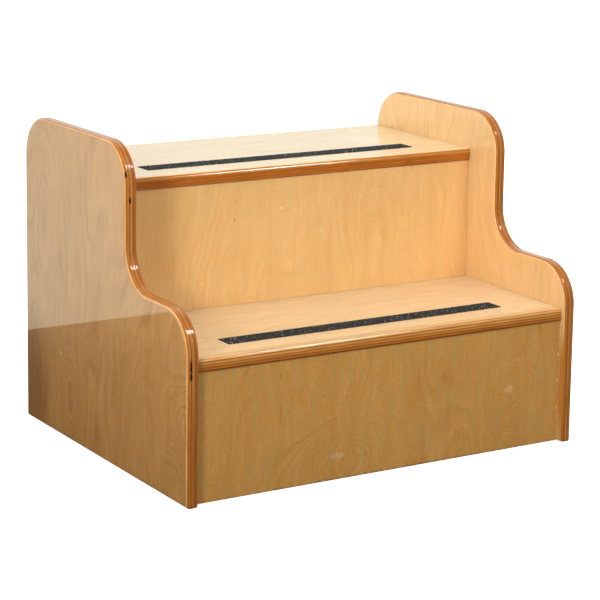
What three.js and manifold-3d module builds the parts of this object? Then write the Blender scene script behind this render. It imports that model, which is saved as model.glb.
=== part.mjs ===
// A two-step stool of clear-lacquered birch plywood. Two S-shaped side panels stand on the floor,
// and two treads, two risers and a rear rail are glued and dowelled between them. Each tread
// carries a strip of abrasive grip tape.
//
// Millimetres. +X runs to the right as seen from the front, -Y points to the front, +Z is up.
// The origin is on the floor at the middle of the footprint.

import * as THREE from "three";
import { mergeVertices } from "three/addons/utils/BufferGeometryUtils.js";
import Module from "manifold-3d";

const wasm = await Module();
wasm.setup();

// ---- Driving sizes ----

const STOOL_WIDTH = 610; // outer face to outer face of the side panels
const STOOL_DEPTH = 478; // front edge to rear edge of a side panel
const LOWER_STEP_HEIGHT = 190.5; // floor to the top of the lower tread
const UPPER_STEP_HEIGHT = 381; // floor to the top of the upper tread
const BOARD = 18; // plywood thickness of every board

const LIP_OVER_LOWER_STEP = 60; // side panel standing above the lower tread
const LIP_OVER_UPPER_STEP = 57; // side panel standing above the upper tread
const CORNER_RADIUS = 57; // the four large curves of the side panel's outline
const EDGE_ROUND = 4.8; // router round-over on every edge of a side panel
const NECK_LEAD = 62; // upper front edge of a panel, ahead of the upper nose

const STEP_RUN = 224.5; // lower nose to upper nose
const NOSE_SETBACK = 6.5; // lower nose, behind the front edge of the side panels
const NOSE_OVERHANG = 3; // nose, ahead of the riser under it
const NOSE_ROUND_TOP = 6;
const NOSE_ROUND_UNDER = 2.5;
const REAR_ROUND = 3; // top rear edge of a tread
const TREAD_PAST_RISER = 1.5; // lower tread's rear edge, behind the riser that stands on it

const RISER_FLOOR_GAP = 1; // lower riser clear of the floor, so the stool can't rock on it

const RAIL_HEIGHT = 70; // rear rail, under the upper tread
const RAIL_INSET = 6; // rail's rear face, ahead of the rear edge of the side panels
const RAIL_ROUND = 3;

const GRIP_LENGTH = 432;
const GRIP_WIDTH = 30;
const GRIP_THICKNESS = 0.9;
const GRIP_FROM_NOSE = 45; // nose to the near edge of the strip
const GRIP_CORNER = 1.5;

const DOWEL_RADIUS = 4;
const DOWEL_LENGTH = 30;
const DOWEL_IN_PANEL = 12; // the rest of the dowel is in the board's end
const DOWEL_CHAMFER = 1;
const DOWEL_PITCH = 38; // up the end of a riser or rail
const TREAD_DOWEL_PITCH = 76; // along the end of a tread

// ---- Clearances ----

const JOINT_GAP = 0.3; // glue line between two boards that meet
const TAPE_GAP = 0.1; // adhesive under a grip strip
const DOWEL_CLEARANCE = 0.3; // round a dowel, in its hole
const DOWEL_END_CLEARANCE = 1; // past either end of a dowel, in its hole
const OVERCUT = 1; // how far a cutter stands out of the face that it enters

// ---- Fineness of curves ----

const OUTLINE_SEGMENTS = 8;
const NOSE_SEGMENTS = 3;
const BEVEL_SEGMENTS = 4;
const DOWEL_SIDES = 12;

// ---- Places worked out from the sizes ----

const innerHalf = STOOL_WIDTH / 2 - BOARD;
const boardLength = 2 * (innerHalf - JOINT_GAP);
const panelFront = -STOOL_DEPTH / 2;
const panelRear = STOOL_DEPTH / 2;
const panelTop = UPPER_STEP_HEIGHT + LIP_OVER_UPPER_STEP;
const shelfTop = LOWER_STEP_HEIGHT + LIP_OVER_LOWER_STEP;
const lowerNose = panelFront + NOSE_SETBACK;
const upperNose = lowerNose + STEP_RUN;
const neckFront = upperNose - NECK_LEAD;
const lowerTreadRear = upperNose + NOSE_OVERHANG + BOARD + TREAD_PAST_RISER;
const upperTreadRear = panelRear;

const QUARTER = Math.PI / 2;

// ---- Materials ----

const paint = (color, roughness) => new THREE.MeshStandardMaterial({ color, roughness, metalness: 0 });
const panelBirch = () => paint(0xd9b483, 0.3);
const treadBirch = () => paint(0xe8cfa0, 0.3);
const riserBirch = () => paint(0xcf9f62, 0.3);
const railBirch = () => paint(0xd2a56b, 0.4);
const dowelBeech = () => paint(0xcfa878, 0.7);
const gritBlack = () => paint(0x17181a, 0.95);

const stool = new THREE.Group();

function addPiece(name, geometry, material) {
  const mesh = new THREE.Mesh(geometry, material);
  mesh.name = name;
  stool.add(mesh);
  return mesh;
}

// ---- Boards as extruded outlines ----

// An outline drawn as (y, z), extruded along its own z, is laid along the stool's X by swapping
// the axes, which keeps every coordinate exact.
const SWAP_AXES = new THREE.Matrix4().makeBasis(
  new THREE.Vector3(0, 1, 0),
  new THREE.Vector3(0, 0, 1),
  new THREE.Vector3(1, 0, 0),
);

function boardAcross(outline, length, curveSegments) {
  const options = { depth: length, bevelEnabled: false, curveSegments };
  const geometry = new THREE.ExtrudeGeometry(outline, options);
  geometry.translate(0, 0, -length / 2);
  return geometry.applyMatrix4(SWAP_AXES);
}

function rectangle(front, rear, bottom, top) {
  const outline = new THREE.Shape();
  outline.moveTo(front, bottom);
  outline.lineTo(rear, bottom);
  outline.lineTo(rear, top);
  outline.lineTo(front, top);
  outline.closePath();
  return outline;
}

// ---- Booleans ----

function toSolid(geometry) {
  const bare = geometry.clone();
  bare.deleteAttribute("normal");
  bare.deleteAttribute("uv");
  const merged = mergeVertices(bare);
  const vertProperties = new Float32Array(merged.attributes.position.array);
  const triVerts = new Uint32Array(merged.index.array);
  return new wasm.Manifold(new wasm.Mesh({ numProp: 3, vertProperties, triVerts }));
}

function toGeometry(solid) {
  const mesh = solid.getMesh();
  const geometry = new THREE.BufferGeometry();
  geometry.setAttribute("position", new THREE.BufferAttribute(mesh.vertProperties, 3));
  geometry.setIndex(new THREE.BufferAttribute(mesh.triVerts, 1));
  geometry.computeVertexNormals();
  return geometry;
}

function cut(geometry, cutters) {
  let solid = toSolid(geometry);
  for (const cutter of cutters) {
    solid = solid.subtract(toSolid(cutter));
  }
  return toGeometry(solid);
}

// ---- Dowel joints ----

const lowerRiserTop = LOWER_STEP_HEIGHT - BOARD - JOINT_GAP;
const upperRiserBottom = LOWER_STEP_HEIGHT + JOINT_GAP;
const underUpperTread = UPPER_STEP_HEIGHT - BOARD - JOINT_GAP;
const railRear = panelRear - RAIL_INSET;

// The places of one board's dowels, as (y, z) on the inner face of a side panel: a row about the
// middle of the board's end, spaced by a pitch along the depth or up the height.
function dowelRow(board, count, middle, pitchY, pitchZ) {
  return Array.from({ length: count }, (_, i) => {
    const step = i - (count - 1) / 2;
    return { board, number: i + 1, y: middle.y + step * pitchY, z: middle.z + step * pitchZ };
  });
}

function treadDowels(board, nose, rear, stepHeight) {
  const middle = { y: (nose + rear) / 2, z: stepHeight - BOARD / 2 };
  return dowelRow(board, 3, middle, TREAD_DOWEL_PITCH, 0);
}

function riserDowels(board, nose, bottom, top) {
  const middle = { y: nose + NOSE_OVERHANG + BOARD / 2, z: (bottom + top) / 2 };
  return dowelRow(board, 3, middle, 0, DOWEL_PITCH);
}

function railDowels() {
  const middle = { y: railRear - BOARD / 2, z: underUpperTread - RAIL_HEIGHT / 2 };
  return dowelRow("rear_rail", 2, middle, 0, DOWEL_PITCH);
}

const dowelRows = {
  lower_tread: treadDowels("lower_tread", lowerNose, lowerTreadRear, LOWER_STEP_HEIGHT),
  upper_tread: treadDowels("upper_tread", upperNose, upperTreadRear, UPPER_STEP_HEIGHT),
  lower_riser: riserDowels("lower_riser", lowerNose, RISER_FLOOR_GAP, lowerRiserTop),
  upper_riser: riserDowels("upper_riser", upperNose, upperRiserBottom, underUpperTread),
  rear_rail: railDowels(),
};

// A cutter for a blind hole along X, between two distances from the middle of the stool.
function holeCutter(place, side, near, far) {
  const radius = DOWEL_RADIUS + DOWEL_CLEARANCE;
  const geometry = new THREE.CylinderGeometry(radius, radius, far - near, DOWEL_SIDES);
  geometry.rotateZ(QUARTER);
  return geometry.translate(side * (near + far) / 2, place.y, place.z);
}

function holesInPanel(side) {
  const bottomOfHole = innerHalf + DOWEL_IN_PANEL + DOWEL_END_CLEARANCE;
  const places = Object.values(dowelRows).flat();
  return places.map((place) => holeCutter(place, side, innerHalf - OVERCUT, bottomOfHole));
}

function holesInBoard(board) {
  const bottomOfHole = innerHalf + DOWEL_IN_PANEL - DOWEL_LENGTH - DOWEL_END_CLEARANCE;
  return [-1, 1].flatMap((side) =>
    dowelRows[board].map((place) => holeCutter(place, side, bottomOfHole, innerHalf + OVERCUT)));
}

// A turned dowel with chamfered ends, across the joint between a board's end and a side panel.
function dowelGeometry(place, side) {
  const half = DOWEL_LENGTH / 2;
  const profile = [
    new THREE.Vector2(0, -half),
    new THREE.Vector2(DOWEL_RADIUS - DOWEL_CHAMFER, -half),
    new THREE.Vector2(DOWEL_RADIUS, -half + DOWEL_CHAMFER),
    new THREE.Vector2(DOWEL_RADIUS, half - DOWEL_CHAMFER),
    new THREE.Vector2(DOWEL_RADIUS - DOWEL_CHAMFER, half),
    new THREE.Vector2(0, half),
  ];
  const geometry = new THREE.LatheGeometry(profile, DOWEL_SIDES);
  geometry.rotateZ(QUARTER);
  return geometry.translate(side * (innerHalf + DOWEL_IN_PANEL - half), place.y, place.z);
}

function addDowels() {
  for (const place of Object.values(dowelRows).flat()) {
    addPiece(`${place.board}_dowel_left_${place.number}`, dowelGeometry(place, -1), dowelBeech());
    addPiece(`${place.board}_dowel_right_${place.number}`, dowelGeometry(place, 1), dowelBeech());
  }
}

// ---- Side panels ----

// The outline as (y, z): up the front edge, over the lower lip, up the neck, over the top and
// down the rear edge. The curve where the lip meets the neck is hollow, the other three are full.
function panelOutline() {
  const r = CORNER_RADIUS;
  const outline = new THREE.Shape();
  outline.moveTo(panelRear, 0);
  outline.lineTo(panelRear, panelTop - r);
  outline.absarc(panelRear - r, panelTop - r, r, 0, QUARTER, false);
  outline.lineTo(neckFront + r, panelTop);
  outline.absarc(neckFront + r, panelTop - r, r, QUARTER, 2 * QUARTER, false);
  outline.lineTo(neckFront, shelfTop + r);
  outline.absarc(neckFront - r, shelfTop + r, r, 0, -QUARTER, true);
  outline.lineTo(panelFront + r, shelfTop);
  outline.absarc(panelFront + r, shelfTop - r, r, QUARTER, 2 * QUARTER, false);
  outline.lineTo(panelFront, 0);
  outline.closePath();
  return outline;
}

function sidePanel(side) {
  const blank = new THREE.ExtrudeGeometry(panelOutline(), {
    depth: BOARD - 2 * EDGE_ROUND,
    curveSegments: OUTLINE_SEGMENTS,
    bevelEnabled: true,
    bevelThickness: EDGE_ROUND,
    bevelSize: EDGE_ROUND,
    bevelOffset: -EDGE_ROUND,
    bevelSegments: BEVEL_SEGMENTS,
  });
  blank.translate(0, 0, EDGE_ROUND - BOARD / 2);
  blank.applyMatrix4(SWAP_AXES);
  blank.translate(side * (STOOL_WIDTH - BOARD) / 2, 0, 0);
  return cut(blank, holesInPanel(side));
}

// ---- Treads, risers and rear rail ----

// A tread's section as (y, z), with a rounded nose at the front.
function treadOutline(nose, rear, top) {
  const bottom = top - BOARD;
  const upper = NOSE_ROUND_TOP;
  const under = NOSE_ROUND_UNDER;
  const outline = new THREE.Shape();
  outline.moveTo(nose + under, bottom);
  outline.lineTo(rear, bottom);
  outline.lineTo(rear, top - REAR_ROUND);
  outline.absarc(rear - REAR_ROUND, top - REAR_ROUND, REAR_ROUND, 0, QUARTER, false);
  outline.lineTo(nose + upper, top);
  outline.absarc(nose + upper, top - upper, upper, QUARTER, 2 * QUARTER, false);
  outline.lineTo(nose, bottom + under);
  outline.absarc(nose + under, bottom + under, under, 2 * QUARTER, 3 * QUARTER, false);
  return outline;
}

function addTread(name, nose, rear, top) {
  const blank = boardAcross(treadOutline(nose, rear, top), boardLength, NOSE_SEGMENTS);
  addPiece(name, cut(blank, holesInBoard(name)), treadBirch());
}

function addRiser(name, nose, bottom, top) {
  const face = nose + NOSE_OVERHANG;
  const blank = boardAcross(rectangle(face, face + BOARD, bottom, top), boardLength);
  addPiece(name, cut(blank, holesInBoard(name)), riserBirch());
}

// The rail's section as (y, z), with its two lower edges rounded for the hand.
function railOutline() {
  const front = railRear - BOARD;
  const bottom = underUpperTread - RAIL_HEIGHT;
  const r = RAIL_ROUND;
  const outline = new THREE.Shape();
  outline.moveTo(front + r, bottom);
  outline.lineTo(railRear - r, bottom);
  outline.absarc(railRear - r, bottom + r, r, -QUARTER, 0, false);
  outline.lineTo(railRear, underUpperTread);
  outline.lineTo(front, underUpperTread);
  outline.lineTo(front, bottom + r);
  outline.absarc(front + r, bottom + r, r, 2 * QUARTER, 3 * QUARTER, false);
  return outline;
}

function addRearRail() {
  const blank = boardAcross(railOutline(), boardLength, NOSE_SEGMENTS);
  addPiece("rear_rail", cut(blank, holesInBoard("rear_rail")), railBirch());
}

// ---- Grip strips ----

function gripOutline(front) {
  const x = GRIP_LENGTH / 2;
  const r = GRIP_CORNER;
  const rear = front + GRIP_WIDTH;
  const outline = new THREE.Shape();
  outline.moveTo(-x + r, front);
  outline.lineTo(x - r, front);
  outline.absarc(x - r, front + r, r, -QUARTER, 0, false);
  outline.lineTo(x, rear - r);
  outline.absarc(x - r, rear - r, r, 0, QUARTER, false);
  outline.lineTo(-x + r, rear);
  outline.absarc(-x + r, rear - r, r, QUARTER, 2 * QUARTER, false);
  outline.lineTo(-x, front + r);
  outline.absarc(-x + r, front + r, r, 2 * QUARTER, 3 * QUARTER, false);
  return outline;
}

function addGripStrip(name, nose, treadTop) {
  const geometry = new THREE.ExtrudeGeometry(gripOutline(nose + GRIP_FROM_NOSE), {
    depth: GRIP_THICKNESS,
    bevelEnabled: false,
    curveSegments: 1,
  });
  geometry.translate(0, 0, treadTop + TAPE_GAP);
  addPiece(name, geometry, gritBlack());
}

// ---- The stool ----

addPiece("left_side_panel", sidePanel(-1), panelBirch());
addPiece("right_side_panel", sidePanel(1), panelBirch());
addTread("lower_tread", lowerNose, lowerTreadRear, LOWER_STEP_HEIGHT);
addTread("upper_tread", upperNose, upperTreadRear, UPPER_STEP_HEIGHT);
addRiser("lower_riser", lowerNose, RISER_FLOOR_GAP, lowerRiserTop);
addRiser("upper_riser", upperNose, upperRiserBottom, underUpperTread);
addRearRail();
addGripStrip("lower_grip_strip", lowerNose, LOWER_STEP_HEIGHT);
addGripStrip("upper_grip_strip", upperNose, UPPER_STEP_HEIGHT);
addDowels();

export default stool;
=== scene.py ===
# A two-step stool of clear-lacquered birch plywood, put together in the order a joiner would:
# side panels, treads, risers, rear rail, dowels, glue, and last the strips of grip tape.
# Everything is in metres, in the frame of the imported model: +X right, -Y front, +Z up.

import math
import random

import bmesh
import bpy
from mathutils import Matrix, Vector


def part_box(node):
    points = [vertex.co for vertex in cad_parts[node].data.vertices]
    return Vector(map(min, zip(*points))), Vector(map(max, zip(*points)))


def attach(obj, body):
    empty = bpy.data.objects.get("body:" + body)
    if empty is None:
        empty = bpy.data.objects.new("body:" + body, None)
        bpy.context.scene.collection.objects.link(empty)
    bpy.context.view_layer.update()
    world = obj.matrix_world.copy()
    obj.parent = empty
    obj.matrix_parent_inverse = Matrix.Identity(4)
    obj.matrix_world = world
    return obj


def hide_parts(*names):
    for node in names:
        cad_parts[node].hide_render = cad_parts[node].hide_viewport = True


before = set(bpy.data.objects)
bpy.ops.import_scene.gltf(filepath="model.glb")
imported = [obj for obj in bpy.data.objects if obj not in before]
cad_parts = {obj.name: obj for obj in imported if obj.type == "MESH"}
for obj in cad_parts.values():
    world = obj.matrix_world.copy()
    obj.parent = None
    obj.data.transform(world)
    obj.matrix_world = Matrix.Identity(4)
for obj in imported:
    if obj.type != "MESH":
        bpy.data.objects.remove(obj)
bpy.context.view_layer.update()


# ---- Camera ----
# One camera at the stool's left front, a little above it, so that both treads show. Its long
# lens is shifted down, which keeps the stool's upright edges nearly parallel, and it leans by
# under a degree.

CAMERA_PLACE = Vector((-1.559438, -2.532795, 0.895668))
CAMERA_YAW = math.radians(31.658)
CAMERA_PITCH = math.radians(10.281)
CAMERA_LEAN = math.radians(0.872)
CAMERA_LENS = 130.675  # millimetres
CAMERA_SENSOR = 36.0  # millimetres wide
CAMERA_SHIFT = -0.2  # in picture widths
CAMERA_REACH = 100.0

view_line = Vector((
    math.sin(CAMERA_YAW) * math.cos(CAMERA_PITCH),
    math.cos(CAMERA_YAW) * math.cos(CAMERA_PITCH),
    -math.sin(CAMERA_PITCH),
))
level_right = Vector((math.cos(CAMERA_YAW), -math.sin(CAMERA_YAW), 0.0))
level_up = level_right.cross(view_line)
lean_right = level_right * math.cos(CAMERA_LEAN) + level_up * math.sin(CAMERA_LEAN)
lean_up = level_up * math.cos(CAMERA_LEAN) - level_right * math.sin(CAMERA_LEAN)

camera_data = bpy.data.cameras.new("studio_camera")
camera_data.sensor_width = CAMERA_SENSOR
camera_data.lens = CAMERA_LENS
camera_data.shift_y = CAMERA_SHIFT
camera_data.clip_end = CAMERA_REACH
camera = bpy.data.objects.new("studio_camera", camera_data)
bpy.context.scene.collection.objects.link(camera)
facing = Matrix((lean_right, lean_up, -view_line)).transposed()
camera.matrix_world = Matrix.Translation(CAMERA_PLACE) @ facing.to_4x4()
bpy.context.scene.camera = camera


# ---- Studio ----
# A plain pale floor, which only the camera sees, and soft lights. A dark ground cloth and two
# bright rear screens, which the camera doesn't see, light the stool and mirror in its lacquer.

AIR_COLOR = (1.0, 0.985, 0.96)
AIR_STRENGTH = 0.26
FLOOR_COLOR = (0.93, 0.93, 0.92)
FLOOR_GLOW = 0.85
FLOOR_REACH = 30.0
FLOOR_DROP = -0.0005
CLOTH_COLOR = (0.10, 0.085, 0.06)
CLOTH_DROP = -0.001
CLOTH_REACH = 5.0
CLOTH_FRONT = -4.0
CLOTH_EDGE = 0.692
LOW_SCREEN_COLOR = (1.0, 0.98, 0.80)
LOW_SCREEN_GLOW = 1.35
LOW_SCREEN_TOP = 0.45
HIGH_SCREEN_COLOR = (1.0, 0.98, 0.92)
HIGH_SCREEN_GLOW = 0.85
HIGH_SCREEN_TOP = 2.5
PAPER_ROUGHNESS = 0.9
PAPER_SHINE = 0.1

bpy.context.scene.view_settings.view_transform = "Standard"

air = bpy.data.worlds.new("studio_air")
air.use_nodes = True
air.node_tree.nodes["Background"].inputs["Color"].default_value = (*AIR_COLOR, 1.0)
air.node_tree.nodes["Background"].inputs["Strength"].default_value = AIR_STRENGTH
air.cycles_visibility.glossy = False
bpy.context.scene.world = air


def lay_sheet(name, corners, color, glow=0.0, seen=True):
    """A flat sheet of the studio. What isn't seen still lights the stool and mirrors in it."""
    mesh = bpy.data.meshes.new(name)
    mesh.from_pydata(corners, [], [(0, 1, 2, 3)])
    sheet = bpy.data.objects.new(name, mesh)
    bpy.context.scene.collection.objects.link(sheet)
    paper = bpy.data.materials.new(name)
    paper.use_nodes = True
    shader = paper.node_tree.nodes["Principled BSDF"]
    shader.inputs["Base Color"].default_value = (*color, 1.0) if seen or not glow else (0, 0, 0, 1)
    shader.inputs["Roughness"].default_value = PAPER_ROUGHNESS
    shader.inputs["Specular IOR Level"].default_value = PAPER_SHINE
    shader.inputs["Emission Color"].default_value = (*color, 1.0)
    shader.inputs["Emission Strength"].default_value = glow
    mesh.materials.append(paper)
    sheet.visible_camera = seen
    sheet.visible_diffuse = not seen
    sheet.visible_glossy = not seen
    sheet.visible_shadow = False


def flat_corners(x0, x1, y0, y1, z):
    return [(x0, y0, z), (x1, y0, z), (x1, y1, z), (x0, y1, z)]


def screen_corners(z0, z1):
    """An upright screen along the cloth's rear edge."""
    y = CLOTH_EDGE
    return [(-CLOTH_REACH, y, z0), (CLOTH_REACH, y, z0), (CLOTH_REACH, y, z1), (-CLOTH_REACH, y, z1)]


lay_sheet(
    "pale_floor",
    flat_corners(-FLOOR_REACH, FLOOR_REACH, -FLOOR_REACH, FLOOR_REACH, FLOOR_DROP),
    FLOOR_COLOR, FLOOR_GLOW,
)
lay_sheet(
    "ground_cloth",
    flat_corners(-CLOTH_REACH, CLOTH_REACH, CLOTH_FRONT, CLOTH_EDGE, CLOTH_DROP),
    CLOTH_COLOR, seen=False,
)
lay_sheet(
    "rear_screen_low", screen_corners(CLOTH_DROP, LOW_SCREEN_TOP),
    LOW_SCREEN_COLOR, LOW_SCREEN_GLOW, seen=False,
)
lay_sheet(
    "rear_screen_high", screen_corners(LOW_SCREEN_TOP, HIGH_SCREEN_TOP),
    HIGH_SCREEN_COLOR, HIGH_SCREEN_GLOW, seen=False,
)


def hang_softbox(name, place, aim, size, power, color=(1.0, 1.0, 1.0), spread=180, glint=False):
    """A soft lamp in metres, watts and degrees. One for glints lights the lacquer alone."""
    lamp = bpy.data.lights.new(name, "AREA")
    lamp.shape = "RECTANGLE"
    lamp.size, lamp.size_y = size
    lamp.energy = power
    lamp.color = color
    lamp.spread = math.radians(spread)
    box = bpy.data.objects.new(name, lamp)
    bpy.context.scene.collection.objects.link(box)
    box.location = place
    box.rotation_euler = (Vector(aim) - Vector(place)).to_track_quat("-Z", "Y").to_euler()
    box.visible_glossy = glint
    box.visible_diffuse = not glint


hang_softbox(
    "key_softbox", place=(1.15, -1.42, 1.90), aim=(0.0, 0.0, 0.25), size=(0.36, 0.36),
    power=15, glint=True,
)
hang_softbox(
    "main_softbox", place=(-2.05, -1.3, 1.15), aim=(0.46, -0.06, 0.36), size=(0.5, 0.6),
    power=3.1, color=(1.0, 0.97, 0.92), spread=42,
)
hang_softbox(
    "front_softbox", place=(0.5, -3.2, 1.5), aim=(0.1, 0.0, 0.55), size=(1.8, 1.2),
    power=6.5, spread=75,
)
hang_softbox(
    "overhead_softbox", place=(0.2, -0.3, 3.0), aim=(0.0, 0.0, 0.2), size=(4.0, 4.0), power=68,
)


# ---- Side panels ----
# Two 18 mm birch plywood boards, sawn to an S-shaped outline and rounded over on every edge
# with a router, then lacquered clear. The round-over cuts through the plies, which show as
# stripes along the edge, with small gaps in the core here and there.

MM = 0.001
CORNER_RADIUS = 57 * MM
EDGE_ROUND = 4.8 * MM
LIP_OVER_LOWER_STEP = 60 * MM
NECK_LEAD = 62 * MM
ARC_STEPS = 20
ROUND_STEPS = 8
GAP_DEPTH = 2.8 * MM
GAP_EASE = 0.05 * MM
GAP_ROW_EASE = 0.1 * MM
DOWEL_CLEARANCE = 0.3 * MM
DOWEL_END_CLEARANCE = 1.0 * MM
DRILL_SIDES = 24
SHARP_ANGLE = math.radians(35)
PANEL_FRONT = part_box("left_side_panel")[0].y / MM
PANEL_NECK = (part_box("upper_tread")[0].y - NECK_LEAD) / MM

PORE_RELIEF = 0.12 * MM
LACQUER_RELIEF = 0.25 * MM
LACQUER_IOR = 1.5
WOOD_SHINE = 0.2
ALL_THE_WAY = 1e6  # millimetres, for a reach that has no end


class Recipe:
    """The nodes of one finish, laid down in order."""

    def __init__(self, name):
        self.material = bpy.data.materials.new(name)
        self.material.use_nodes = True
        self.tree = self.material.node_tree
        self.tree.nodes.clear()

    def feed(self, socket, value):
        if isinstance(value, bpy.types.NodeSocket):
            self.tree.links.new(value, socket)
        elif isinstance(value, tuple) and len(value) == 3 and socket.type == "RGBA":
            socket.default_value = (*value, 1.0)
        else:
            socket.default_value = value

    def node(self, kind, inputs, output=0, **settings):
        made = self.tree.nodes.new("ShaderNode" + kind)
        for name, value in settings.items():
            setattr(made, name, value)
        for name, value in inputs.items():
            self.feed(made.inputs[name], value)
        return made.outputs[output]

    def sum(self, *terms):
        total = terms[0]
        for term in terms[1:]:
            total = self.node("Math", {0: total, 1: term}, operation="ADD")
        return total

    def less(self, a, b):
        return self.node("Math", {0: a, 1: b}, operation="SUBTRACT")

    def times(self, a, b):
        return self.node("Math", {0: a, 1: b}, operation="MULTIPLY")

    def size_of(self, a):
        return self.node("Math", {0: a}, operation="ABSOLUTE")

    def point(self, x, y, z):
        return self.node("CombineXYZ", {0: x, 1: y, 2: z})

    def millimetres(self):
        """The place in the piece, in millimetres."""
        seat = self.node("TexCoord", {}, output=3)
        return self.node("VectorMath", {0: seat, 3: 1000.0}, operation="SCALE")

    def parts(self, vector):
        made = self.tree.nodes.new("ShaderNodeSeparateXYZ")
        self.tree.links.new(vector, made.inputs[0])
        return list(made.outputs)

    def noise(self, vector, stretch, detail=2.0, roughness=0.5, output=0):
        """Noise whose grains are 1/stretch mm long along each axis."""
        stretched = self.node("VectorMath", {0: vector, 1: stretch}, operation="MULTIPLY")
        return self.node(
            "TexNoise",
            {"Vector": stretched, "Scale": 1.0, "Detail": detail, "Roughness": roughness},
            output=output,
        )

    def drift(self, vector, stretch, reach):
        """The same place, pushed up to half the reach to and fro."""
        push = self.noise(vector, stretch, 2.0, 0.5, output=1)
        push = self.node("VectorMath", {0: push, 1: (0.5, 0.5, 0.5)}, operation="SUBTRACT")
        push = self.node("VectorMath", {0: push, 1: (reach, reach, 0.0)}, operation="MULTIPLY")
        return self.node("VectorMath", {0: vector, 1: push}, operation="ADD")

    def gap_to(self, vector, centre, half_sizes):
        """Distance from the centre, in half sizes."""
        off = self.node("VectorMath", {0: vector, 1: centre}, operation="SUBTRACT")
        off = self.node("VectorMath", {0: off, 1: half_sizes}, operation="DIVIDE")
        return self.node("VectorMath", {0: off}, output=1, operation="LENGTH")

    def rescale(self, value, low, high, to_low=0.0, to_high=1.0, smooth=True):
        return self.node(
            "MapRange",
            {"Value": value, "From Min": low, "From Max": high, "To Min": to_low, "To Max": to_high},
            interpolation_type="SMOOTHSTEP" if smooth else "LINEAR",
        )

    def blend(self, amount, a, b):
        made = self.tree.nodes.new("ShaderNodeMix")
        made.data_type = "RGBA"
        self.feed(made.inputs[0], amount)
        self.feed(made.inputs[6], a)
        self.feed(made.inputs[7], b)
        return made.outputs[2]

    def ladder(self, value, rungs):
        """A colour for each stretch of value, as (start, colour)."""
        made = self.tree.nodes.new("ShaderNodeValToRGB")
        made.color_ramp.interpolation = "CONSTANT"
        stops = made.color_ramp.elements
        while len(stops) > 1:
            stops.remove(stops[-1])
        stops[0].position, stops[0].color = rungs[0][0], (*rungs[0][1], 1.0)
        for start, color in rungs[1:]:
            stops.new(start).color = (*color, 1.0)
        self.feed(made.inputs[0], value)
        return made.outputs[0]

    def lacquer(self, color, relief, coat_relief=None, coat=1.0, coat_roughness=0.03, roughness=0.42):
        """Clear lacquer over a duller base. A coat of 0 leaves the base bare."""
        shader = self.tree.nodes.new("ShaderNodeBsdfPrincipled")
        self.feed(shader.inputs["Base Color"], color)
        shader.inputs["Roughness"].default_value = roughness
        shader.inputs["Specular IOR Level"].default_value = WOOD_SHINE
        shader.inputs["Coat Weight"].default_value = coat
        shader.inputs["Coat Roughness"].default_value = coat_roughness
        shader.inputs["Coat IOR"].default_value = LACQUER_IOR
        reliefs = (("Normal", relief, PORE_RELIEF), ("Coat Normal", coat_relief, LACQUER_RELIEF))
        for socket, height, depth in reliefs:
            if height is not None:
                bump = self.node("Bump", {"Strength": 1.0, "Distance": depth, "Height": height})
                self.feed(shader.inputs[socket], bump)
        output = self.tree.nodes.new("ShaderNodeOutputMaterial")
        self.feed(output.inputs["Surface"], shader.outputs[0])
        return self.material


AXES = "xyz"
RING_COUNT = 20.0
MEAN_TONE = 0.40
DARK_GRAIN = (0.27, 0.070, 0.008)
VENEER_END = 0.018  # in shares of the board's thickness, as is the next
VENEER_EDGE = 0.030
RIDGE_TURNS = 30.0


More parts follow.
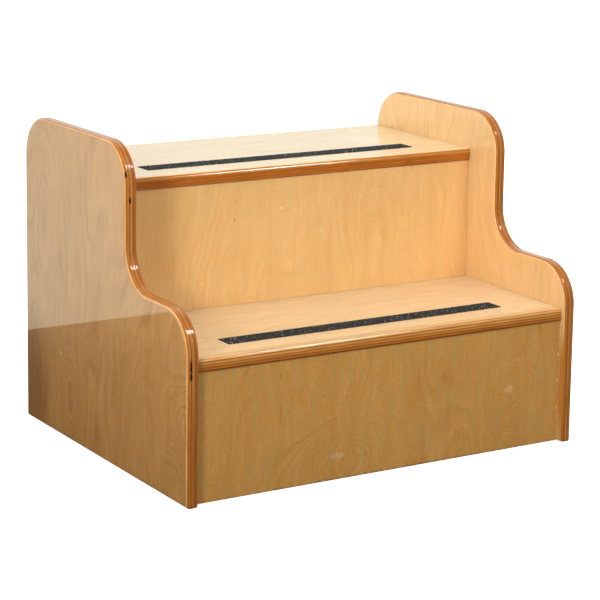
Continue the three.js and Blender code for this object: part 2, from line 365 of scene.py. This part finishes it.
def plywood(name, across, along, depth, faces, plies, veneer_tones, shift, figure=1.0, mottle=1.0,
            waves=1.0, marks=(), swirls=()):
    """Birch plywood as a solid: rotary-cut face veneers over a stack of plies laid crosswise.

    across, along and depth are the axes that run over the face grain, with it, and through the
    board. faces are the board's two faces on the depth axis, and plies the colours from the
    first face to the second. veneer_tones are pale, deep and grey, and shift picks the stretch
    of veneer. figure, mottle and waves say how strong the rings, the mottling and the wander
    are. marks are spots and patches of colour, some of them painted shade, as (centre, half
    sizes, colour, strength), and swirls turn the figure round a knot, as (across, along, half
    width, half height, turns), in millimetres.
    """
    mix = Recipe(name)
    spots = mix.parts(mix.millimetres())
    over, with_grain = spots[AXES.index(across)], spots[AXES.index(along)]
    thickness = abs(faces[1] - faces[0]) / MM
    through = mix.times(
        mix.less(spots[AXES.index(depth)], faces[0] / MM),
        1.0 if faces[1] > faces[0] else -1.0,
    )
    place = mix.point(over, with_grain, through)
    moved = mix.node("VectorMath", {0: place, 1: shift}, operation="ADD")

    # Face veneer. The knife cuts the growth rings at a shallow angle, so they show as contour
    # lines that wander and close round a knot. Tone and hue change from ring to ring.
    bent = mix.drift(moved, (0.022, 0.012, 0.0), 26.0)
    wavy = mix.drift(bent, (0.10, 0.10, 0.0), 7.0 * waves)
    rings = mix.times(mix.noise(wavy, (0.0085, 0.0022, 0.0), 1.0, 0.4), RING_COUNT)
    shown = mix.rescale(mix.noise(moved, (0.010, 0.005, 0.0), 1.0), 0.40, 0.60, 0.1, 0.9)
    for knot_across, knot_along, half_width, half_height, turns in swirls:
        knot = (knot_across + shift[0], knot_along + shift[1], shift[2])
        gap = mix.gap_to(wavy, knot, (half_width, half_height, ALL_THE_WAY))
        rings = mix.sum(rings, mix.rescale(gap, 1.0, 0.0, 0.0, turns))
        shown = mix.sum(shown, mix.rescale(gap, 1.0, 0.5, 0.0, 0.8))
    shown = mix.node("Math", {0: shown, 1: 1.0}, operation="MINIMUM")
    phase = mix.node("Math", {0: rings}, operation="FRACT")
    line = mix.times(mix.rescale(phase, 0.0, 0.12), mix.rescale(phase, 0.12, 0.60, 1.0, 0.0))
    by_ring = mix.point(mix.times(rings, 1.3), mix.times(with_grain, 0.012), 0.0)
    ring_tone = mix.noise(by_ring, (1.0, 1.0, 1.0), 3.0, 0.65)
    fibres = mix.noise(bent, (1.1, 0.035, 0.2), 3.0, 0.6)
    flecks = mix.noise(bent, (0.75, 0.22, 0.0), 2.0, 0.7)
    streaks = mix.noise(bent, (0.07, 0.0028, 0.0), 3.0, 0.55)
    clouds = mix.noise(moved, (0.013, 0.006, 0.0), 2.0, 0.5)
    layers = ((fibres, 1.1), (flecks, 1.7 * mottle), (streaks, 0.75), (clouds, 0.55),
              (ring_tone, 1.25 * figure))
    tone = mix.sum(
        *(mix.times(mix.less(layer, 0.5), weight) for layer, weight in layers),
        mix.times(mix.times(line, shown), 0.42 * figure),
        MEAN_TONE,
    )
    pale, deep, grey = veneer_tones
    veneer = mix.blend(mix.rescale(tone, -0.1, 1.1, -0.1, 1.1, smooth=False), pale, deep)
    greying = mix.noise(bent, (0.16, 0.018, 0.0), 3.0, 0.6)
    veneer = mix.blend(mix.rescale(greying, 0.44, 0.62, 0.0, 0.65 * mottle), veneer, grey)

    # Plies: each has its own colour, streaks along its own grain, and darkens on end grain.
    share = mix.times(through, 1.0 / thickness)
    stack = mix.ladder(share, plies)
    turn = mix.ladder(share, [(start, (i % 2,) * 3) for i, (start, _) in enumerate(plies)])
    long_streaks = mix.noise(moved, (0.6, 0.02, 0.9), 3.0, 0.6)
    cross_streaks = mix.noise(moved, (0.02, 0.6, 0.9), 3.0, 0.6)
    ply_streaks = mix.blend(turn, long_streaks, cross_streaks)
    facing_way = mix.parts(mix.node("TexCoord", {}, output=1))
    end_long = mix.size_of(facing_way[AXES.index(along)])
    end_cross = mix.size_of(facing_way[AXES.index(across)])
    end_grain = mix.blend(turn, end_long, end_cross)
    blotch = mix.noise(moved, (0.03, 0.03, 0.25), 2.0)
    dark = mix.sum(
        mix.times(mix.less(ply_streaks, 0.5), 0.8),
        mix.times(mix.less(blotch, 0.5), 1.1),
        mix.times(end_grain, 0.20),
    )
    darkness = mix.rescale(dark, -0.1, 0.8, 0.0, 0.85, smooth=False)
    edge = mix.blend(darkness, stack, DARK_GRAIN)

    # The face veneers stop where the round-over starts to cut through them.
    on_face = mix.sum(
        mix.rescale(share, VENEER_EDGE, VENEER_END),
        mix.rescale(share, 1.0 - VENEER_EDGE, 1.0 - VENEER_END),
    )
    color = mix.blend(on_face, edge, veneer)
    for centre, half_sizes, mark_color, strength in marks:
        gap = mix.gap_to(mix.drift(place, (0.12, 0.12, 0.12), 5.0), centre, half_sizes)
        color = mix.blend(mix.rescale(gap, 1.0, 0.35, 0.0, strength), color, mark_color)

    # The cutter and the sander leave the plies of the edge a little uneven under the lacquer.
    ridges = mix.node("Math", {0: mix.times(share, RIDGE_TURNS)}, operation="SINE")
    relief = mix.times(
        mix.less(1.0, on_face), mix.sum(mix.times(ridges, 0.16), mix.times(ply_streaks, 0.10))
    )
    pores = mix.sum(mix.times(fibres, 0.35), relief)
    return mix.lacquer(color, pores, relief)


def even_out(piece):
    """Smooth shading that keeps flat faces flat and true corners sharp."""
    piece.data.shade_smooth()
    piece.data.set_sharp_from_angle(angle=SHARP_ANGLE)
    even = piece.modifiers.new("even_shading", "WEIGHTED_NORMAL")
    even.keep_sharp = True
    even.weight = 100


def link_piece(name, mesh, finish, slot_name, *nodes):
    """A finished piece, in the place of its plain stand-ins, if it has any."""
    piece = bpy.data.objects.new(name, mesh)
    bpy.context.scene.collection.objects.link(piece)
    mesh.materials.append(finish)
    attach(piece, "root")
    if nodes:
        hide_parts(*nodes)
    return piece


def core_gaps(side):
    """Gaps in the core plies at the front edges, in millimetres.

    Each is the y of the edge, z low and high, and the depth into the board low and high.
    """
    if side < 0:
        return [(PANEL_FRONT, 176.5, 189.5, 4.9, 6.7), (PANEL_FRONT, 167.0, 172.8, 4.9, 6.7),
                (PANEL_NECK, 361.5, 368.0, 6.6, 7.9)]
    return [(PANEL_FRONT, 58.0, 62.5, 9.4, 10.6)]


def s_outline(gaps):
    """The panel's outline as (y, z), anticlockwise seen from +X, with its inward directions."""
    low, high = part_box("left_side_panel")
    neck = PANEL_NECK * MM
    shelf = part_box("lower_tread")[1].z + LIP_OVER_LOWER_STEP
    r = CORNER_RADIUS
    points = [((low.y, 0.0), (1.0, 1.0)), ((high.y, 0.0), (-1.0, 1.0))]

    def arc(y, z, start, stop, hollow=False):
        for i in range(ARC_STEPS + 1):
            a = math.radians(start + (stop - start) * i / ARC_STEPS)
            out = (math.cos(a), math.sin(a))
            inward = out if hollow else (-out[0], -out[1])
            points.append(((y + r * out[0], z + r * out[1]), inward))

    def down_the_front(y):
        """Rows down a straight front edge, so that the gaps in its core can be cut into it."""
        ends = [z * MM for gap in gaps if abs(gap[0] * MM - y) < MM for z in gap[1:3]]
        rows = sorted({round(z + step, 6) for z in ends for step in (-GAP_ROW_EASE, GAP_ROW_EASE)})
        points.extend(((y, z), (1.0, 0.0)) for z in reversed(rows))

    arc(high.y - r, high.z - r, 0, 90)
    arc(neck + r, high.z - r, 90, 180)
    down_the_front(neck)
    arc(neck - r, shelf + r, 0, -90, hollow=True)
    arc(low.y + r, shelf - r, 90, 180)
    down_the_front(low.y)
    return points


def panel_section(thickness, gaps):
    """From the outer face to the inner, as (depth, how far the edge is set in)."""
    turn = [math.radians(90 * i / ROUND_STEPS) for i in range(ROUND_STEPS + 1)]
    outer = [(EDGE_ROUND * (1 - math.cos(a)), EDGE_ROUND * (1 - math.sin(a))) for a in turn]
    steps = (-GAP_EASE, GAP_EASE)
    sides = {round(d * MM + step, 6) for gap in gaps for d in gap[3:] for step in steps}
    flat = [(d, 0.0) for d in sorted(sides) if EDGE_ROUND < d < thickness - EDGE_ROUND]
    return outer + flat + [(thickness - d, inset) for d, inset in reversed(outer)]


def panel_mesh(name, side):
    low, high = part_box(name)
    outer = low.x if side < 0 else high.x
    gaps = core_gaps(side)
    section = panel_section(high.x - low.x, gaps)
    mesh = bmesh.new()
    rings = []
    for (y, z), inward in s_outline(gaps):
        ring = []
        for d, inset in section:
            in_gap = any(
                abs(y - gap[0] * MM) < GAP_ROW_EASE and gap[1] * MM < z < gap[2] * MM
                and gap[3] * MM < d < gap[4] * MM for gap in gaps
            )
            deep = inset + (GAP_DEPTH if in_gap else 0.0)
            place = (outer - side * d, y + inward[0] * deep, z + inward[1] * deep)
            ring.append(mesh.verts.new(place))
        rings.append(ring)
    for a, b in zip(rings, rings[1:] + rings[:1]):
        for j in range(len(section) - 1):
            mesh.faces.new((a[j], b[j], b[j + 1], a[j + 1]))
    mesh.faces.new([ring[0] for ring in rings])
    mesh.faces.new([ring[-1] for ring in reversed(rings)])
    return board_from(mesh, name)


def board_from(mesh, name):
    bmesh.ops.recalc_face_normals(mesh, faces=mesh.faces)
    made = bpy.data.meshes.new(name + "_shape")
    mesh.to_mesh(made)
    mesh.free()
    return made


def drill(piece, dowels):
    """Blind holes for the dowels, cut into the board with a little room round each."""
    drills = bmesh.new()
    for dowel in dowels:
        low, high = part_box(dowel)
        radius = (high.z - low.z) / 2 + DOWEL_CLEARANCE
        length = high.x - low.x + 2 * DOWEL_END_CLEARANCE
        centre = (low + high) / 2
        turn = Matrix.Translation(centre) @ Matrix.Rotation(math.radians(90), 4, "Y")
        bmesh.ops.create_cone(drills, cap_ends=True, segments=DRILL_SIDES, radius1=radius,
                              radius2=radius, depth=length, matrix=turn)
    cutter_mesh = bpy.data.meshes.new("drill_bits")
    drills.to_mesh(cutter_mesh)
    drills.free()
    cutter = bpy.data.objects.new("drill_bits", cutter_mesh)
    bpy.context.scene.collection.objects.link(cutter)
    cut = piece.modifiers.new("drilling", "BOOLEAN")
    cut.operation = "DIFFERENCE"
    cut.solver = "EXACT"
    cut.object = cutter
    bpy.context.view_layer.update()
    result = piece.evaluated_get(bpy.context.evaluated_depsgraph_get())
    drilled = bpy.data.meshes.new_from_object(result)
    piece.modifiers.remove(cut)
    undrilled = piece.data
    piece.data = drilled
    bpy.data.objects.remove(cutter)
    bpy.data.meshes.remove(undrilled)
    bpy.data.meshes.remove(cutter_mesh)


def dowels_of(board, side=""):
    return sorted(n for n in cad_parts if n.startswith(board) and f"_dowel_{side}" in n)


# Colours of the plies from the outer face inwards, each from its share of the thickness.
ORANGE = (0.52, 0.165, 0.016)
HONEY = (0.55, 0.235, 0.048)
PALE_PLY = (0.68, 0.36, 0.11)
BROWN = (0.28, 0.078, 0.010)
RUST = (0.40, 0.108, 0.010)
CUT_VENEER = (0.84, 0.52, 0.22)

PANEL_PLIES = [(0.0, CUT_VENEER), (0.085, ORANGE), (0.25, PALE_PLY), (0.285, BROWN), (0.385, HONEY),
               (0.46, BROWN), (0.50, PALE_PLY), (0.56, RUST), (0.78, HONEY), (0.83, RUST),
               (0.915, CUT_VENEER)]

# Colours of what a board has here and there: painted shade in a core gap, a dark foot, a pale spot,
# and painted shade low on the panels.
PAINTED_GAP_SHADE = (0.03, 0.008, 0.002)
DARK_FOOT = (0.12, 0.03, 0.004)
PALE_SPOT = (0.92, 0.74, 0.48)
PAINTED_REAR_SHADE = (0.20, 0.065, 0.008)
PAINTED_CORNER_SHADE = (0.46, 0.17, 0.018)

left_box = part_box("left_side_panel")
right_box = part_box("right_side_panel")
BOARDS_BETWEEN = ("lower_tread", "upper_tread", "lower_riser", "upper_riser", "rear_rail")

# The left panel's veneer tones are darker than the right panel's: partly the boards' own tones,
# partly painted shade on the left panel's outer face and painted light on the right panel's inner
# face, which gets bounced light between the treads and risers.
left_birch = plywood(
    "left_panel_birch", "y", "z", "x", (left_box[0].x, left_box[1].x), PANEL_PLIES,
    ((0.66, 0.345, 0.112), (0.45, 0.190, 0.040), (0.49, 0.260, 0.080)), (310.0, 77.0, 0.0),
    figure=0.95, mottle=0.6, waves=1.2,
    marks=[((124.9, 118.2, 0.0), (2.2, 2.4, 3.0), PALE_SPOT, 0.7),
           # Painted shade: the left panel's face darker towards its rear foot, where less light
           # falls.
           ((235.0, 40.0, 0.0), (95.0, 170.0, 3.0), PAINTED_REAR_SHADE, 0.60),
           # Painted shade: near-black in the gaps of the core plies, on the edges.
           ((PANEL_NECK + 2.0, 399.0, 2.8), (7.0, 7.0, 2.2), PAINTED_GAP_SHADE, 1.0),
           ((PANEL_NECK + 2.0, 365.0, 7.2), (7.0, 7.0, 2.2), PAINTED_GAP_SHADE, 1.0),
           ((PANEL_FRONT + 2.0, 183.0, 5.8), (7.0, 15.0, 2.8), PAINTED_GAP_SHADE, 1.0),
           ((PANEL_FRONT + 2.0, 170.0, 5.8), (7.0, 7.5, 2.8), PAINTED_GAP_SHADE, 1.0),
           ((0.0, 0.0, 9.0), (400.0, 3.0, 400.0), DARK_FOOT, 0.7),
           ((PANEL_FRONT, 70.0, 9.0), (9.0, 105.0, 8.0), RUST, 0.6),
           ((PANEL_FRONT, 121.0, 11.8), (8.0, 17.0, 1.7), RUST, 0.9),
           ((PANEL_FRONT, 72.0, 12.6), (8.0, 23.0, 1.6), BROWN, 0.9)],
    swirls=[(-236.0, 104.0, 85.0, 95.0, 9.0), (95.0, 60.0, 70.0, 120.0, 6.0)],
)
right_birch = plywood(
    "right_panel_birch", "y", "z", "x", (right_box[1].x, right_box[0].x), PANEL_PLIES,
    ((0.82, 0.53, 0.25), (0.66, 0.38, 0.145), (0.70, 0.47, 0.22)), (-540.0, 205.0, 0.0),
    figure=0.8, mottle=0.5, waves=0.6,
    marks=[((PANEL_FRONT, 60.0, 12.0), (9.0, 75.0, 5.0), RUST, 0.5),
           # Painted shade on the right panel's inner face, low at the front beside the lower riser,
           # where less light reaches.
           ((PANEL_FRONT + 1.0, 80.0, 18.0), (12.0, 112.0, 7.0), PAINTED_CORNER_SHADE, 0.9),
           ((0.0, 0.0, 9.0), (400.0, 3.0, 400.0), DARK_FOOT, 0.8)],
)
for hand, side, birch in (("left", -1, left_birch), ("right", 1, right_birch)):
    name = hand + "_side_panel"
    panel = link_piece(name + "_fine", panel_mesh(name, side), birch, "panel_birch", name)
    drill(panel, [dowel for board in BOARDS_BETWEEN for dowel in dowels_of(board, hand)])
    even_out(panel)


# ---- Treads ----
# Two 18 mm boards with the grain lengthwise. Each has a rounded nose that stands a little
# proud of the riser under it, and is glued and dowelled between the side panels.

NOSE_ROUND_TOP = 6.0 * MM
NOSE_ROUND_UNDER = 2.5 * MM
REAR_ROUND = 3.0 * MM
NOSE_END_ROUND = 2.2 * MM
NOSE_END_REACH = 14 * MM
NOSE_END_STEPS = 4
TOP_STEPS = 8
UNDER_STEPS = 5
# A darker band painted along the lower tread's nose.
DARKER_NOSE_BAND = (0.60, 0.32, 0.10)

UPPER_TREAD_PLIES = [(0.0, CUT_VENEER), (0.07, ORANGE), (0.20, HONEY), (0.31, ORANGE), (0.44, RUST),
                     (0.56, ORANGE), (0.68, RUST), (0.80, ORANGE), (0.88, BROWN), (0.95, BROWN)]
LOWER_TREAD_PLIES = [(0.0, CUT_VENEER), (0.07, RUST), (0.13, PALE_PLY), (0.25, ORANGE),
                     (0.33, PALE_PLY), (0.45, ORANGE), (0.54, HONEY), (0.66, RUST), (0.76, ORANGE),
                     (0.86, BROWN), (0.95, BROWN)]


def arc_points(y, z, r, start, stop, steps):
    return [(y + r * math.cos(math.radians(start + (stop - start) * i / steps)),
             z + r * math.sin(math.radians(start + (stop - start) * i / steps)))
            for i in range(steps + 1)]


def tread_mesh(name):
    """The section of nose, underside and rear, run lengthwise, with the nose's ends eased."""
    low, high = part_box(name)
    top, under, rear = NOSE_ROUND_TOP, NOSE_ROUND_UNDER, REAR_ROUND
    section = arc_points(low.y + top, high.z - top, top, 90, 180, TOP_STEPS)
    section += arc_points(low.y + under, low.z + under, under, 180, 270, UNDER_STEPS)
    section += [(high.y, low.z)]
    section += arc_points(high.y - rear, high.z - rear, rear, 0, 90, UNDER_STEPS)
    stations = [(0.0, NOSE_END_ROUND)]
    for i in range(1, NOSE_END_STEPS + 1):
        a = math.radians(90 * i / NOSE_END_STEPS)
        stations.append((NOSE_END_ROUND * (1 - math.cos(a)), NOSE_END_ROUND * (1 - math.sin(a))))
    mesh = bmesh.new()
    rings = []

    def ring_at(x, back):
        ring = []
        for y, z in section:
            share = max(0.0, 1 - (y - low.y) / NOSE_END_REACH)
            ring.append(mesh.verts.new((x, y + back * share * share, z)))
        return ring

    for step, back in stations:
        rings.append(ring_at(low.x + step, back))
    for step, back in reversed(stations):
        rings.append(ring_at(high.x - step, back))
    for a, b in zip(rings, rings[1:]):
        for j in range(len(section)):
            k = (j + 1) % len(section)
            mesh.faces.new((a[j], a[k], b[k], b[j]))
    mesh.faces.new(rings[0])
    mesh.faces.new(list(reversed(rings[-1])))
    return board_from(mesh, name)


nose_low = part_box("lower_tread")[0].y / MM
nose_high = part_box("upper_tread")[0].y / MM
# The treads' veneer tones are paler than the panels' and risers': partly the boards' own tone, partly
# painted light on tops that face the lamps.
tread_finishes = (
    ("lower_tread", LOWER_TREAD_PLIES, (45.0, 610.0, 0.0),
     ((0.86, 0.67, 0.43), (0.68, 0.45, 0.225), (0.76, 0.57, 0.35)),
     # A darker band along the nose.
     [((nose_low + 4.0, 0.0, 0.0), (11.0, 900.0, 5.0), DARKER_NOSE_BAND, 0.55),
      ((nose_low, -103.0, 16.5), (6.0, 24.0, 2.2), BROWN, 0.8),
      ((nose_low, 160.0, 15.5), (6.0, 27.0, 2.4), BROWN, 0.8)]),
    ("upper_tread", UPPER_TREAD_PLIES, (820.0, -300.0, 0.0),
     ((0.92, 0.74, 0.47), (0.74, 0.53, 0.27), (0.83, 0.64, 0.38)),
     [((nose_high, 180.0, 11.8), (6.0, 6.5, 2.0), BROWN, 0.9)]),
)
for name, plies, shift, veneer_tones, marks in tread_finishes:
    low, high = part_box(name)
    birch = plywood(
        name + "_birch", "y", "x", "z", (high.z, low.z), plies, veneer_tones, shift,
        figure=0.7, mottle=0.8, marks=marks,
    )
    tread = link_piece(name + "_fine", tread_mesh(name), birch, "tread_birch", name)
    drill(tread, dowels_of(name))
    even_out(tread)


# ---- Risers ----
# Two upright boards with the grain up and down, one under each tread's nose, dowelled between
# the side panels. The lower one's face has two swirls of grain, one round a pin knot.

FLECK = (0.30, 0.10, 0.02)


def finish_node(name, finish):
    """A wood finish on a board or pin whose plain shape is already the real one."""
    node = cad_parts[name]
    node.data.materials.clear()
    node.data.materials.append(finish)


# The lower riser's veneer tones are darker and more orange than the upper riser's: partly the board's
# own tone, partly painted shade on the low step, which gets less light.
low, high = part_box("lower_riser")
lower_riser_birch = plywood(
    "lower_riser_birch", "x", "z", "y", (low.y, high.y), LOWER_TREAD_PLIES,
    ((0.68, 0.36, 0.100), (0.50, 0.215, 0.038), (0.50, 0.31, 0.095)), (150.0, 930.0, 0.0),
    figure=0.60, waves=0.7,
    marks=[((0.0, 0.0, 0.0), (400.0, 3.5, 40.0), DARK_FOOT, 0.7),
           ((202.0, 86.0, 0.0), (10.0, 6.0, 3.0), PALE_SPOT, 0.28),
           ((204.0, 73.0, 0.0), (5.0, 4.5, 3.0), FLECK, 0.30),
           ((-163.7, 152.7, 0.0), (1.6, 5.0, 3.0), FLECK, 0.6),
           ((-163.0, 101.0, 0.0), (2.2, 22.0, 3.0), ORANGE, 0.6),
           ((-75.0, 33.0, 0.0), (16.0, 6.0, 3.0), PALE_SPOT, 0.18)],
    swirls=[(204.0, 75.0, 52.0, 66.0, 9.0), (-70.0, 16.0, 110.0, 80.0, 10.0)],
)
low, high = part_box("upper_riser")
upper_riser_birch = plywood(
    "upper_riser_birch", "x", "z", "y", (low.y, high.y), LOWER_TREAD_PLIES,
    ((0.88, 0.55, 0.225), (0.72, 0.385, 0.120), (0.74, 0.49, 0.21)), (-260.0, 410.0, 0.0),
    figure=0.5, mottle=0.7, waves=0.5,
    marks=[((-29.7, 320.4, 0.0), (2.6, 2.0, 3.0), PALE_SPOT, 0.8),
           ((36.0, 281.9, 0.0), (2.4, 2.0, 3.0), PALE_SPOT, 0.6),
           ((-105.6, 310.4, 0.0), (1.0, 3.5, 3.0), FLECK, 0.8)],
)
finish_node("lower_riser", lower_riser_birch)
finish_node("upper_riser", upper_riser_birch)


# ---- Rear rail ----
# A board under the rear of the upper tread that keeps the panels from spreading. Its two
# lower edges are eased for the hand, and its grain runs lengthwise.

low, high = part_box("rear_rail")
rail_birch = plywood(
    "rear_rail_birch", "z", "x", "y", (low.y, high.y), LOWER_TREAD_PLIES,
    ((0.76, 0.44, 0.16), (0.58, 0.28, 0.075), (0.60, 0.38, 0.16)), (500.0, 120.0, 0.0),
    figure=0.8,
)
finish_node("rear_rail", rail_birch)


# ---- Dowels ----
# Turned beech pins, 8 mm thick and left bare. Each is glued into blind holes in a board's end
# and in the side panel beside it.

PALE_BEECH = (0.66, 0.44, 0.24)
DARK_BEECH = (0.45, 0.25, 0.11)
BARE_WOOD_ROUGHNESS = 0.7

beech = Recipe("dowel_beech")
beech_flecks = beech.noise(beech.millimetres(), (0.12, 1.6, 1.6), 3.0, 0.6)
pin_color = beech.blend(beech.rescale(beech_flecks, 0.3, 0.7), PALE_BEECH, DARK_BEECH)
dowel_beech = beech.lacquer(pin_color, beech_flecks, coat=0.0, roughness=BARE_WOOD_ROUGHNESS)
for name in sorted(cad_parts):
    if "_dowel_" in name:
        finish_node(name, dowel_beech)


# ---- Grip strips ----
# Black abrasive tape, 30 mm wide: coarse grit bonded to a thin backing, stuck near each nose.
# The grit stands up in fine grains, and a few of them are painted pale as glints.

GRIT_PITCH = 0.9 * MM
GRIT_SWAY = 0.3 * MM
GRIT_RISE = 0.5 * MM
TORN_EDGE = 0.25 * MM
EDGE_DROP = 0.35 * MM
GRIT_ROUGHNESS = 0.75
GRITS_PER_MM = 0.9
BLACK_GRIT = (0.006, 0.007, 0.008)
GREY_GRIT = (0.035, 0.038, 0.040)
GRIT_DUST = (0.08, 0.08, 0.072)
PAINTED_GLINT_GRIT = (0.55, 0.58, 0.58)

grit = Recipe("grip_grit")
grit_place = grit.millimetres()
cells = grit.node("TexVoronoi", {"Vector": grit_place, "Scale": GRITS_PER_MM}, output=1)
lot = grit.parts(cells)[0]
dust = grit.noise(grit_place, (0.5, 0.5, 0.5), 3.0, 0.7)
grain_tone = grit.blend(grit.rescale(lot, 0.0, 1.0, smooth=False), BLACK_GRIT, GREY_GRIT)
grain_tone = grit.blend(grit.rescale(dust, 0.48, 0.75, 0.0, 0.4), grain_tone, GRIT_DUST)
# Painted glints: a few grains coloured pale.
grain_tone = grit.blend(grit.rescale(lot, 0.970, 0.990), grain_tone, PAINTED_GLINT_GRIT)
grip_grit = grit.lacquer(grain_tone, dust, coat=0.0, roughness=GRIT_ROUGHNESS)


def strip_mesh(name, seed):
    """A flat strip whose top is a grid of grains at slightly uneven heights."""
    low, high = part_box(name)
    dice = random.Random(seed)
    columns = round((high.x - low.x) / GRIT_PITCH)
    rows = round((high.y - low.y) / GRIT_PITCH)
    mesh = bmesh.new()
    top = []
    for j in range(rows + 1):
        line = []
        for i in range(columns + 1):
            x = low.x + (high.x - low.x) * i / columns
            y = low.y + (high.y - low.y) * j / rows
            edge = i in (0, columns) or j in (0, rows)
            if edge:
                x = min(max(x + dice.uniform(-1, 1) * TORN_EDGE, low.x), high.x)
                y = min(max(y + dice.uniform(-1, 1) * TORN_EDGE, low.y), high.y)
                z = high.z - EDGE_DROP
            else:
                x += dice.uniform(-1, 1) * GRIT_SWAY
                y += dice.uniform(-1, 1) * GRIT_SWAY
                z = high.z - dice.random() ** 2 * GRIT_RISE
            line.append(mesh.verts.new((x, y, z)))
        top.append(line)
    for j in range(rows):
        for i in range(columns):
            mesh.faces.new((top[j][i], top[j][i + 1], top[j + 1][i + 1], top[j + 1][i]))
    right_side = [line[-1] for line in top[1:-1]]
    left_side = [line[0] for line in top[-2:0:-1]]
    loop = top[0] + right_side + top[-1][::-1] + left_side
    foot = [mesh.verts.new((v.co.x, v.co.y, low.z)) for v in loop]
    count = len(loop)
    for i in range(count):
        k = (i + 1) % count
        mesh.faces.new((loop[i], foot[i], foot[k], loop[k]))
    mesh.faces.new(foot[::-1])
    return board_from(mesh, name)


for name, seed in (("lower_grip_strip", 11), ("upper_grip_strip", 12)):
    link_piece(name + "_fine", strip_mesh(name, seed), grip_grit, "grip_tape", name)


# ---- Glue ----
# Beads of yellow wood glue that squeezed out beside the lower riser's three dowels, at the
# joint with the right panel, and dried under the lacquer.

BEAD_HALF_SIZE = Vector((1.1, 0.7, 1.8)) * MM
BEAD_FROM_PANEL = 0.9 * MM
BEAD_FROM_FACE = 0.1 * MM
BEAD_SLIP = 1.0 * MM
PALE_GLUE = (0.90, 0.72, 0.22)
DARK_GLUE = (0.80, 0.55, 0.12)

glue = Recipe("dried_glue")
glue_cloud = glue.noise(glue.millimetres(), (0.6, 0.6, 0.6), 2.0)
glue_color = glue.blend(glue_cloud, PALE_GLUE, DARK_GLUE)
dried_glue = glue.lacquer(glue_color, glue_cloud, coat_roughness=0.1, roughness=0.4)

riser_low, riser_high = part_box("lower_riser")
for number, dowel in enumerate(dowels_of("lower_riser", "right"), 1):
    low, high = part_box(dowel)
    bead = bmesh.new()
    bmesh.ops.create_icosphere(bead, subdivisions=3, radius=1.0)
    dice = random.Random(40 + number)
    for v in bead.verts:
        lump = 1 + 0.12 * math.sin(3 * v.co.x + number) + 0.1 * math.sin(4 * v.co.z + 2 * number)
        swollen = Vector((v.co.x * lump, v.co.y, v.co.z * lump)) * BEAD_HALF_SIZE
        slip = dice.uniform(-1, 1) * BEAD_SLIP
        seat = (riser_high.x - BEAD_FROM_PANEL, riser_low.y - BEAD_FROM_FACE, (low.z + high.z) / 2)
        v.co = swollen + Vector(seat) + Vector((0.0, 0.0, slip))
    bead_mesh = bpy.data.meshes.new(f"glue_bead_{number}")
    bead.to_mesh(bead_mesh)
    bead.free()
    bead_piece = link_piece(f"glue_bead_{number}", bead_mesh, dried_glue, "riser_birch")
    bead_piece.data.shade_smooth()
